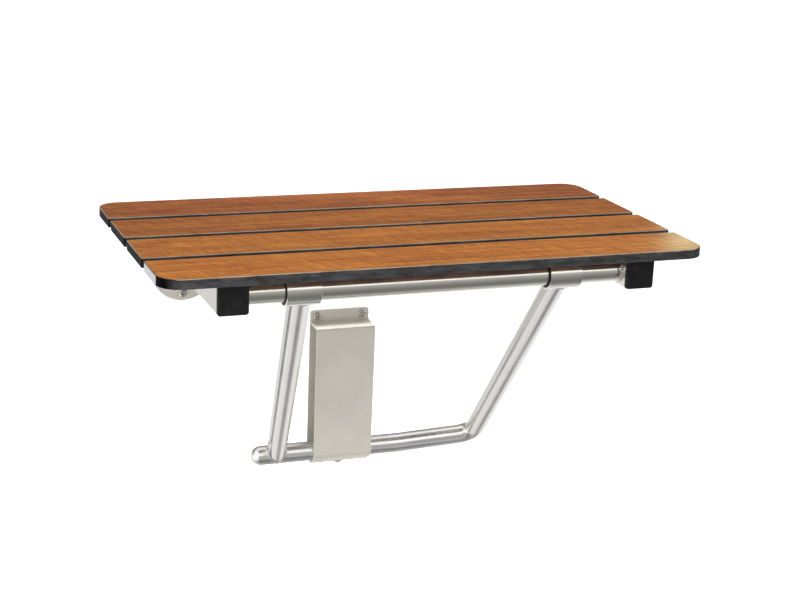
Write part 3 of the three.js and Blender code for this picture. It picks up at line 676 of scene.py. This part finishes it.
# ---- drop leg ----
LEG_PLANE = Vector((0, CROSS_AXIS.z - BAR_AXIS.z, BAR_AXIS.y - CROSS_AXIS.y)).normalized()


def across(point, tangent, radius, count):
    """A ring round a leg tube, seen square to its path."""
    side = tangent.cross(LEG_PLANE).normalized()
    angles = [i / count * math.tau for i in range(count)]
    return [point + radius * (math.cos(a) * side + math.sin(a) * LEG_PLANE) for a in angles]


def onto_tube(points, tangent, axis_point, radius, far):
    """Slides points along a leg until they meet a round tube along X, on its near or far side."""
    slid = []
    along = tangent.normalized()
    for p in points:
        gap = (p - axis_point).yz
        a = along.yz.dot(along.yz)
        b = 2 * gap.dot(along.yz)
        c = gap.dot(gap) - radius * radius
        root = math.sqrt(max(b * b - 4 * a * c, 0))
        t = (-b + (root if far else -root)) / (2 * a)
        slid.append(p + along * t)
    return slid


def weld(name, curve, body):
    """A rippled bead along a closed curve."""
    count = len(curve)
    middle = sum(curve, Vector()) / count
    rings = []
    travelled = 0.0
    for i, point in enumerate(curve):
        ahead = curve[(i + 1) % count]
        tangent = (ahead - curve[i - 1]).normalized()
        outward = (point - middle).normalized()
        up = tangent.cross(outward).normalized()
        outward = up.cross(tangent)
        ripple = 1 + 0.10 * math.sin(travelled / WELD_RIPPLE * math.tau)
        radius = WELD_RADIUS * ripple
        angles = [k / 12 * math.tau for k in range(12)]
        rings.append([point + radius * (math.cos(a) * outward + math.sin(a) * up) for a in angles])
        travelled += (ahead - point).length
    bm = bmesh.new()
    loft(bm, rings, closed=True)
    obj = object_from(bm, name, [WELD])
    shade(obj)
    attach(obj, body)
    return obj


def leg_left():
    """A straight tube, coped under the sleeve and onto the bar, with a bead at each end."""
    along = TOP_LEFT - FOOT_LEFT
    rings = []
    for radius in (TUBE_RADIUS, TUBE_RADIUS - ROUND_WALL):
        foot = across(FOOT_LEFT, along, radius, LEG_SEGMENTS)
        top = across(TOP_LEFT, along, radius, LEG_SEGMENTS)
        ends = [
            onto_tube(foot, along, BAR_AXIS, TUBE_RADIUS + HAIR, True),
            onto_tube(top, along, CROSS_AXIS, SLEEVE_RADIUS + HAIR, False),
        ]
        rings += ends if radius == TUBE_RADIUS else ends[::-1]
    bm = bmesh.new()
    loft(bm, rings, closed=True)
    stand_for(object_from(bm, "leg_left", [TUBE_LEG_LEFT]), "leg_left")
    foot = across(FOOT_LEFT, along, TUBE_RADIUS, WELD_POINTS)
    weld("weld_leg_left_foot", onto_tube(foot, along, BAR_AXIS, TUBE_RADIUS, True), "leg")
    top = across(TOP_LEFT, along, TUBE_RADIUS, WELD_POINTS)
    weld("weld_leg_left_top", onto_tube(top, along, CROSS_AXIS, SLEEVE_RADIUS, False), "leg")


def leg_right():
    """A tube that goes on from the bar, bends twice and is coped under the sleeve."""
    start = Vector((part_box("leg_bar")[1].x + HAIR, BAR_AXIS.y, BAR_AXIS.z))
    kink = Vector((LEG_KINK_X, BAR_AXIS.y, BAR_AXIS.z))
    path = [start, *fillet(start, kink, FOOT_RIGHT, LEG_KINK_RADIUS, 8)]
    path += fillet(kink, FOOT_RIGHT, TOP_RIGHT, LEG_BEND, 20)
    along = TOP_RIGHT - FOOT_RIGHT
    tangents = [X_AXIS, *(after - before for before, after in zip(path, path[2:])), along]
    loops = []
    for radius in (TUBE_RADIUS, TUBE_RADIUS - ROUND_WALL):
        rings = [across(point, tangent, radius, LEG_SEGMENTS) for point, tangent in zip(path, tangents)]
        top = across(TOP_RIGHT, along, radius, LEG_SEGMENTS)
        rings.append(onto_tube(top, along, CROSS_AXIS, SLEEVE_RADIUS + HAIR, False))
        loops += rings if radius == TUBE_RADIUS else rings[::-1]
    bm = bmesh.new()
    loft(bm, loops, closed=True)
    stand_for(object_from(bm, "leg_right", [TUBE_LEG_RIGHT]), "leg_right")
    top = across(TOP_RIGHT, along, TUBE_RADIUS, WELD_POINTS)
    weld("weld_leg_right_top", onto_tube(top, along, CROSS_AXIS, SLEEVE_RADIUS, False), "leg")


def leg_bar():
    """The bar in the guide: a domed left end and an open right end."""
    lo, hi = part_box("leg_bar")
    tip = lo.x
    length = hi.x - tip
    inner = TUBE_RADIUS - ROUND_WALL
    profile = [(0, 0)]
    for degrees in range(8, 91, 6):
        angle = math.radians(degrees)
        profile.append((TUBE_RADIUS * math.sin(angle), TUBE_RADIUS * (1 - math.cos(angle))))
    profile += [(TUBE_RADIUS, TUBE_RADIUS + 1 * MM), (TUBE_RADIUS, length)]
    profile += [(inner, length), (inner, TUBE_RADIUS)]
    for degrees in range(70, 9, -15):
        angle = math.radians(degrees)
        profile.append((inner * math.sin(angle), TUBE_RADIUS - inner * math.cos(angle)))
    profile.append((0, ROUND_WALL))
    bm = bmesh.new()
    lathe(bm, profile, toward(X_AXIS, Vector((tip, BAR_AXIS.y, BAR_AXIS.z))), LEG_SEGMENTS)
    return stand_for(object_from(bm, "leg_bar", [TUBE_BAR]), "leg_bar")


# ---- wall guide ----
def bent_sheet(corners, x, half_width, top_z):
    """A sheet bent along (y, z, bend radius) corners of its middle line. Its two corners at the top
    are rounded, and every edge is eased."""
    points = [Vector((0, y, z)) for y, z, _ in corners]
    line = []
    for i, (_, _, radius) in enumerate(corners):
        if radius == 0:
            line.append(points[i])
        else:
            line += fillet(points[i - 1], points[i], points[i + 1], radius, 10)
    # More stations where the top corners round off.
    start = line.pop(0)
    drops = [GUIDE_CORNER * (1 - math.cos(math.radians(a))) for a in range(0, 91, 9)]
    line = [Vector((0, start.y, top_z - drop)) for drop in drops] + line
    rings = []
    for i, p in enumerate(line):
        tangent = (line[min(i + 1, len(line) - 1)] - line[max(i - 1, 0)]).normalized()
        normal = X_AXIS.cross(tangent).normalized()
        drop = top_z - p.z
        narrowing = 0.0
        if drop < GUIDE_CORNER:
            narrowing = GUIDE_CORNER - math.sqrt(GUIDE_CORNER ** 2 - (GUIDE_CORNER - drop) ** 2)
        half = half_width - narrowing
        ease = SHEET_EDGE if 0 < i < len(line) - 1 else SHEET_EDGE * 1.02
        section = rounded_box(half, GUIDE_SHEET / 2, [ease] * 4, 3)
        rings.append([Vector((x, p.y, p.z)) + X_AXIS * u + normal * v for u, v in section])
    bm = bmesh.new()
    loft(bm, rings)
    return bm


def drill(obj, places, axis, radius, depth):
    """Cuts round holes that start at each place."""
    for at in places:
        bm = bmesh.new()
        profile = [(0, -depth), (radius, -depth), (radius, depth), (0, depth)]
        lathe(bm, profile, toward(axis, at), 28)
        combine(obj, bm)


def guide_bracket():
    lo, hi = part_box("guide_bracket")
    x = (lo.x + hi.x) / 2
    half_width = (hi.x - lo.x) / 2
    wall = hi.y - GUIDE_SHEET / 2
    front = lo.y + GUIDE_SHEET / 2
    curl = lo.z + GUIDE_SHEET / 2
    shelf = hi.z - GUIDE_SHELF_DROP
    curl_radius = BAR_AXIS.z - curl
    bm = bent_sheet([
        (wall, hi.z, 0),
        (wall, shelf, 4 * MM),
        (front, shelf - GUIDE_SHELF_FALL, 2.5 * MM),
        (front, curl, curl_radius),
        (wall - 2 * MM, curl, 0),
    ], x, half_width, hi.z)
    obj = object_from(bm, "guide_bracket", [STEEL_SHEET])
    upper = [centre("guide_screw_upper_left"), centre("guide_screw_upper_right")]
    drill(obj, upper, Y_AXIS, SCREW_HOLE, 8 * MM)
    drill(obj, [Vector((*centre("guide_clamp_screw").xy, curl))], Z_AXIS, SCREW_HOLE, 2 * MM)
    return stand_for(obj, "guide_bracket")


def guide_back_plate():
    lo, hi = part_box("guide_back_plate")
    x = (lo.x + hi.x) / 2
    bm = bent_sheet([
        (hi.y - GUIDE_SHEET / 2, hi.z, 0),
        (hi.y - GUIDE_SHEET / 2, lo.z + GUIDE_SHEET / 2, 3 * MM),
        (lo.y, lo.z + GUIDE_SHEET / 2, 0),
    ], x, (hi.x - lo.x) / 2, hi.z)
    obj = object_from(bm, "guide_back_plate", [STEEL_SHEET])
    screws = [n for n in SLOT_OF if n.startswith("guide_screw")]
    drill(obj, [centre(n) for n in screws], Y_AXIS, SCREW_HOLE, 8 * MM)
    drill(obj, [Vector((*centre("guide_clamp_screw").xy, lo.z))], Z_AXIS, SCREW_HOLE, 4 * MM)
    return stand_for(obj, "guide_back_plate")


# ---- hinges ----
def hinge_flange(side_name):
    cad_node = "hinge_flange_" + side_name
    lo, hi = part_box(cad_node)
    middle = centre(cad_node)
    radius = (hi.z - lo.z) / 2
    thick = hi.y - lo.y
    bm = bmesh.new()
    profile = [(0, 0), (radius - FLANGE_EDGE, 0)]
    rounding = arc((0, 0), FLANGE_EDGE, 90, 0, 5)[1:]
    profile += [(radius - FLANGE_EDGE + u, FLANGE_EDGE - v) for u, v in rounding]
    profile += [(radius, thick), (0, thick)]
    lathe(bm, profile, toward(Y_AXIS, Vector((middle.x, lo.y, middle.z))), 120)
    obj = object_from(bm, cad_node, [STEEL_PLATE])
    screws = [centre(f"flange_screw_{side_name}_{k}") for k in (1, 2, 3)]
    drill(obj, screws, Y_AXIS, SCREW_HOLE, 8 * MM)
    return stand_for(obj, cad_node)


def hinge_lug(side_name):
    """A thick plate that leaves the flange low and rises to the hinge bolt."""
    cad_node = "hinge_lug_" + side_name
    lo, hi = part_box(cad_node)
    foot_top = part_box("hinge_flange_left")[1].z - LUG_FOOT_RIM
    front = PIVOT.y - LUG_HEAD
    low = Vector((0, -LUG_FOOT_REACH, lo.z))
    knee = Vector((0, front, lo.z + 22 * MM))
    high = Vector((0, front, PIVOT.z))
    outline = [(hi.y - HAIR, foot_top), (hi.y - HAIR, lo.z)]
    outline += [(-LUG_FOOT_REACH, lo.z)]
    outline += [(p.y, p.z) for p in fillet(low, knee, high, 12 * MM, 10)]
    outline += arc((PIVOT.y, PIVOT.z), LUG_HEAD, 180, 0, 28)
    neck = Vector((0, PIVOT.y + LUG_HEAD, PIVOT.z))
    bend = Vector((0, PIVOT.y + LUG_HEAD, foot_top))
    wall = Vector((0, hi.y, foot_top))
    outline += [(p.y, p.z) for p in fillet(neck, bend, wall, 8 * MM, 8)]
    bm = bmesh.new()
    loft(bm, [[Vector((x, y, z)) for y, z in outline] for x in (lo.x, hi.x)])
    obj = object_from(bm, cad_node, [STEEL_SHEET])
    drill(obj, [Vector((lo.x, PIVOT.y, PIVOT.z))], X_AXIS, HINGE_BORE, 12 * MM)
    soften(obj, 0.5 * MM)
    return stand_for(obj, cad_node)


def outward_from(cad_node, side):
    """A placement on the hinge axis at a piece's inner end, with local Z pointing outwards."""
    lo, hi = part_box(cad_node)
    inner = lo.x if side > 0 else hi.x
    return toward(X_AXIS * side, Vector((inner, PIVOT.y, PIVOT.z)))


def hex_prism(bm, across_corners, low, high, place):
    radius = across_corners / 2
    ends = []
    for height in (low, high):
        angles = [k / 6 * math.tau for k in range(6)]
        ends.append([place @ Vector((radius * math.cos(a), radius * math.sin(a), height)) for a in angles])
    loft(bm, ends)


def hinge_bolt(side_name, side):
    cad_node = "hinge_bolt_" + side_name
    length = extent(cad_node).x
    place = outward_from(cad_node, side)
    head = 5.5 * MM
    rim = 9 * MM
    shank = 5 * MM
    angles = [math.radians(degrees) for degrees in (20, 32, 44, 56, 68, 80, 90)]
    profile = [(0, 0)]
    profile += [(rim * math.sin(a), head * 0.85 * (1 - math.cos(a)) ** 0.9) for a in angles]
    profile += [(rim, head - 0.3 * MM), (rim - 0.3 * MM, head), (shank, head)]
    profile += [(shank, length - 1 * MM), (shank - 1 * MM, length), (0, length)]
    bm = bmesh.new()
    lathe(bm, profile, place, 48)
    obj = object_from(bm, cad_node, [BRIGHT])
    socket = bmesh.new()
    hex_prism(socket, 6.8 * MM, -1 * MM, 3 * MM, place)
    combine(obj, socket)
    return stand_for(obj, cad_node)


def hinge_washer(cad_node, side, finish):
    thick = extent(cad_node).x
    outer = extent(cad_node).z / 2
    ease = 0.25 * MM
    profile = [
        (HINGE_BORE, 0), (outer - ease, 0), (outer, ease), (outer, thick - ease),
        (outer - ease, thick), (HINGE_BORE, thick),
    ]
    bm = bmesh.new()
    lathe(bm, profile, outward_from(cad_node, side), 56)
    return stand_for(object_from(bm, cad_node, [finish]), cad_node)


def hinge_nut(side_name, side):
    """A domed cap nut: chamfered hexagon, round dome and a blind bore."""
    cad_node = "hinge_nut_" + side_name
    place = outward_from(cad_node, side)
    height = extent(cad_node).x
    skirt = 6 * MM
    bm = bmesh.new()
    hex_prism(bm, 18.4 * MM, 0, skirt, place)
    obj = object_from(bm, cad_node, [BRIGHT])
    turned = bmesh.new()
    profile = [(0, -1 * MM), (8.2 * MM, -1 * MM), (8.2 * MM, 0), (9.3 * MM, 0.7 * MM)]
    profile += [(9.3 * MM, skirt - 1 * MM), (7.9 * MM, skirt + 0.1 * MM), (0, skirt + 0.1 * MM)]
    lathe(turned, profile, place, 64)
    combine(obj, turned, "INTERSECT")
    dome = bmesh.new()
    profile = [(0, skirt - 2 * MM), (7.5 * MM, skirt - 2 * MM)]
    rise = height - skirt - 0.5 * MM
    profile += [(7.5 * MM * math.cos(a), skirt + 0.5 * MM + rise * math.sin(a))
                for a in (math.radians(d) for d in range(0, 85, 7))]
    profile += [(0, height)]
    lathe(dome, profile, place, 64)
    combine(obj, dome, "UNION")
    bore = bmesh.new()
    profile = [(0, -1 * MM), (HINGE_BORE, -1 * MM), (HINGE_BORE, height - 4.5 * MM), (0, height - 4.5 * MM)]
    lathe(bore, profile, place, 40)
    combine(obj, bore)
    return stand_for(obj, cad_node)


# ---- screws ----
def pan_screw(cad_node, axis, turn):
    """A pan-head screw with a cross recess. Its head is at the low end of the node's box."""
    size = extent(cad_node)
    middle = centre(cad_node)
    length = size.dot(axis)
    start = middle - axis * (length / 2)
    head_radius = max(size - axis * length) / 2
    head_height = 1.2 * MM if "screw_lower" in cad_node else head_radius * 0.57
    shank = head_radius * 0.42
    place = toward(axis, start) @ Matrix.Rotation(turn, 4, "Z")
    crown = [(head_radius * math.sin(a), head_height * 0.72 * (1 - math.cos(a) ** 0.75))
             for a in (math.radians(d) for d in (12, 24, 36, 48, 60, 70, 80, 90))]
    profile = [(0, 0), *crown, (head_radius, head_height - 0.25 * MM), (head_radius - 0.25 * MM, head_height)]
    profile += [(shank, head_height), (shank, length - 0.5 * MM), (shank - 0.5 * MM, length), (0, length)]
    bm = bmesh.new()
    lathe(bm, profile, place, 40)
    obj = object_from(bm, cad_node, [BRIGHT])
    recess = bmesh.new()
    rings = []
    for depth, reach in ((-0.5 * MM, 0.60), (head_height * 0.35, 0.50), (head_height * 0.8, 0.22)):
        arm = head_radius * reach
        wide = arm * 0.26
        cross = []
        for quarter in range(4):
            spin = Matrix.Rotation(quarter * math.pi / 2, 3, "Z")
            for u, v in ((arm, -wide), (arm, wide), (wide, wide)):
                cross.append(place @ (spin @ Vector((u, v, 0)) + Vector((0, 0, depth))))
        rings.append(cross)
    loft(recess, rings)
    combine(obj, recess)
    return stand_for(obj, cad_node)


def clamp_washer():
    cad_node = "guide_clamp_washer"
    thick = extent(cad_node).z
    under = Vector((*centre(cad_node).xy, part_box(cad_node)[0].z))
    rim = 8 * MM
    ease = 0.2 * MM
    profile = [(SCREW_HOLE, 0), (rim - ease, 0), (rim, ease), (rim, thick), (SCREW_HOLE, thick)]
    bm = bmesh.new()
    lathe(bm, profile, toward(Z_AXIS, under))
    return stand_for(object_from(bm, cad_node, [BRIGHT]), cad_node)


# ---- build every piece ----
for i, slat_node in enumerate(SLATS):
    front = SLAT_CORNER if i == 0 else SLAT_SMALL_CORNER
    rear = SLAT_CORNER if i == len(SLATS) - 1 else SLAT_SMALL_CORNER
    slat(slat_node, TEAK[i], front, rear, polished=i == 0)

for side_name, side in (("left", -1), ("right", 1)):
    square_tube(side_name)
    end_cap("front_cap_" + side_name, -1)
    end_cap("rear_cap_" + side_name, 1)
    pipe_x("leg_sleeve_" + side_name, SLEEVE_RADIUS, SLEEVE_WALL, 0.4 * MM, TUBE_CROSS)
    bushing(side_name)
    cross_tube_weld(side_name, side)
    hinge_flange(side_name)
    hinge_lug(side_name)
    hinge_bolt(side_name, side)
    hinge_washer("hinge_washer_inner_" + side_name, side, BLACK)
    hinge_washer("hinge_washer_outer_" + side_name, side, BRIGHT)
    hinge_nut(side_name, side)

pipe_x("front_cross_tube", TUBE_RADIUS, ROUND_WALL, HAIR, TUBE_CROSS)
leg_left()
leg_right()
leg_bar()
guide_bracket()
guide_back_plate()

GOLDEN_TURN = 2.4               # radians from one screw's recess to the next
for i, screw_node in enumerate(sorted(n for n in SLOT_OF if "_screw" in n)):
    upright = screw_node.startswith("slat") or "clamp" in screw_node
    pan_screw(screw_node, Z_AXIS if upright else Y_AXIS, i * GOLDEN_TURN)

clamp_washer()


# ---- stage ----
def floor(level):
    """A pale, one-sided floor that a camera below can look through."""
    bm = bmesh.new()
    half = 8.0
    corners = [(-half, -half), (half, -half), (half, half), (-half, half)]
    bm.faces.new([bm.verts.new((x, y, level)) for x, y in corners])
    made, tree, shader = material("stage_floor")
    feed(tree, shader, Base_Color=(0.9, 0.9, 0.9, 1), Roughness=0.9)
    feed(tree, shader, Emission_Color=(1, 1, 1, 1), Emission_Strength=0.40)
    clear = node(tree, "BsdfTransparent").outputs[0]
    behind = node(tree, "NewGeometry").outputs["Backfacing"]
    one_sided = node(tree, "MixShader", {0: behind, 1: shader.outputs[0], 2: clear}).outputs[0]
    tree.links.new(one_sided, tree.nodes["Material Output"].inputs["Surface"])
    obj = object_from(bm, "stage_floor", [made])
    obj.visible_glossy = False


# Studio brightness round the seat, by angle about X: 0 is the viewer's side, 90 straight up,
# 180 the wall's side and -90 straight down.
STUDIO = [
    (-180, 1.00), (-128, 1.00), (-100, 0.75), (-72, 0.26), (-45, 0.18), (-20, 0.27), (0, 0.40),
    (14, 0.48), (21, 1.20), (27, 1.60), (36, 1.60), (60, 1.35), (100, 1.30), (124, 0.70), (142, 0.25),
    (172, 0.25), (180, 1.00),
]
# Dark flags behind the seat draw lines down the sloping legs. Each is turned to the right of
# straight at the wall and then raised, has a half angle, all in degrees, and darkens by a share.
FLAGS = [
    (-27, -40, 10, 0.85),
    (-13, -18, 12, 0.35),
    (43, -71, 13, 0.65),
]


def heading(turn, rise):
    """A direction turned to the right of straight at the wall and then raised, in radians."""
    return Vector((math.sin(turn) * math.cos(rise), math.cos(turn) * math.cos(rise), math.sin(rise)))


def studio():
    """Soft light from a bright sweep, seen by the steel as broad stripes; the camera sees white."""
    world = bpy.data.worlds.new("studio")
    bpy.context.scene.world = world
    world.use_nodes = True
    tree = world.node_tree
    background = tree.nodes["Background"]
    direction = node(tree, "TexCoord").outputs["Generated"]
    parts = node(tree, "SeparateXYZ", {0: direction}).outputs
    forward = calc(tree, "MULTIPLY", parts[1], -1.0)
    angle = calc(tree, "ARCTAN2", parts[2], forward)
    share = remap(tree, angle, -math.pi, math.pi, 0.0, 1.0)
    peak = max(level for _, level in STUDIO)
    stops = [((degrees + 180) / 360, grey(level / peak)) for degrees, level in STUDIO]
    light = ramp(tree, share, stops)
    for turn, rise, half_angle, strength in FLAGS:
        flag = heading(math.radians(turn), math.radians(rise))
        pair = {0: direction, 1: flag}
        towards = node(tree, "VectorMath", pair, operation="DOT_PRODUCT").outputs["Value"]
        edge = math.cos(math.radians(half_angle))
        left = remap(tree, towards, edge, (1 + edge) / 2, 1.0, 1.0 - strength)
        light = mix(tree, 1.0, light, left, "MULTIPLY")
    camera_ray = node(tree, "LightPath").outputs["Is Camera Ray"]
    colour = mix(tree, camera_ray, light, (1, 1, 1, 1))
    strength = remap(tree, camera_ray, 0.0, 1.0, peak, 1.2)
    tree.links.new(colour, background.inputs["Color"])
    tree.links.new(strength, background.inputs["Strength"])


def area_light(name, at, target, size, watts):
    data = bpy.data.lights.new(name, "AREA")
    data.shape = "RECTANGLE"
    data.size, data.size_y = size
    data.energy = watts
    obj = bpy.data.objects.new(name, data)
    bpy.context.scene.collection.objects.link(obj)
    obj.location = at
    obj.rotation_mode = "QUATERNION"
    obj.rotation_quaternion = (Vector(target) - Vector(at)).to_track_quat("-Z", "Y")
    obj.visible_camera = False
    return obj


# The camera stands to the left of the seat and a little above it.
CAMERA_PLACE = Vector((-0.7593, -2.2253, 0.8171))
CAMERA_TURN = math.radians(21.02)    # to the right of straight at the wall
CAMERA_FALL = math.radians(16.17)
CAMERA_ROLL = math.radians(2.36)
CAMERA_LENS = 75.76


def camera():
    data = bpy.data.cameras.new("camera")
    data.lens = CAMERA_LENS
    data.sensor_width = 36
    obj = bpy.data.objects.new("camera", data)
    bpy.context.scene.collection.objects.link(obj)
    forward = heading(CAMERA_TURN, -CAMERA_FALL)
    level = Vector((math.cos(CAMERA_TURN), -math.sin(CAMERA_TURN), 0))
    upright = level.cross(forward)
    right = math.cos(CAMERA_ROLL) * level + math.sin(CAMERA_ROLL) * upright
    up = right.cross(forward)
    turn = Matrix((right, up, -forward)).transposed()
    obj.matrix_world = Matrix.Translation(CAMERA_PLACE) @ turn.to_4x4()
    bpy.context.scene.camera = obj


def kicker():
    """A small light behind the front right corner, which washes out the teak's colour there."""
    corner = Vector((cad_box[1].x, cad_box[0].y, cad_box[1].z))
    place = corner + Vector((0.08, 0.19, 0.05))
    light = area_light("kicker", place, corner + Vector((-0.02, 0.03, 0)), (0.05, 0.03), 0.09)
    light.data.color = (0.66, 1.0, 0.68)
    light.visible_diffuse = False


def cards():
    """Two white cards, seen in the bar and in its domed end."""
    below = FOOT_LEFT + Vector((0.16, -0.22, -0.10))
    left = FOOT_LEFT + Vector((-0.42, -0.17, -0.10))
    made = [
        area_light("card_below", below, BAR_AXIS, (0.60, 0.10), 0.06),
        area_light("card_left", left, FOOT_LEFT, (0.55, 0.50), 0.85),
    ]
    for light in made:
        light.visible_diffuse = False


def fills():
    """Soft light in the seat's shade, from the front and from behind the wall plane."""
    middle = centre("guide_bracket")
    shelf = Vector((middle.x, middle.y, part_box("guide_bracket")[1].z))
    made = [
        area_light("fill_front", Vector((-0.45, -0.80, 0.20)), shelf, (0.30, 0.20), 1.0),
        area_light("fill_near", shelf + Vector((0, -0.25, 0.10)), shelf, (0.20, 0.05), 0.13),
        area_light("fill_shelf", shelf + Vector((0, 0.22, 0.20)), shelf, (0.25, 0.08), 3.8),
    ]
    for light in made:
        light.visible_glossy = False


floor(cad_box[0].z - 0.05)
studio()
kicker()
cards()
fills()
camera()
bpy.context.scene.view_settings.view_transform = "Standard"
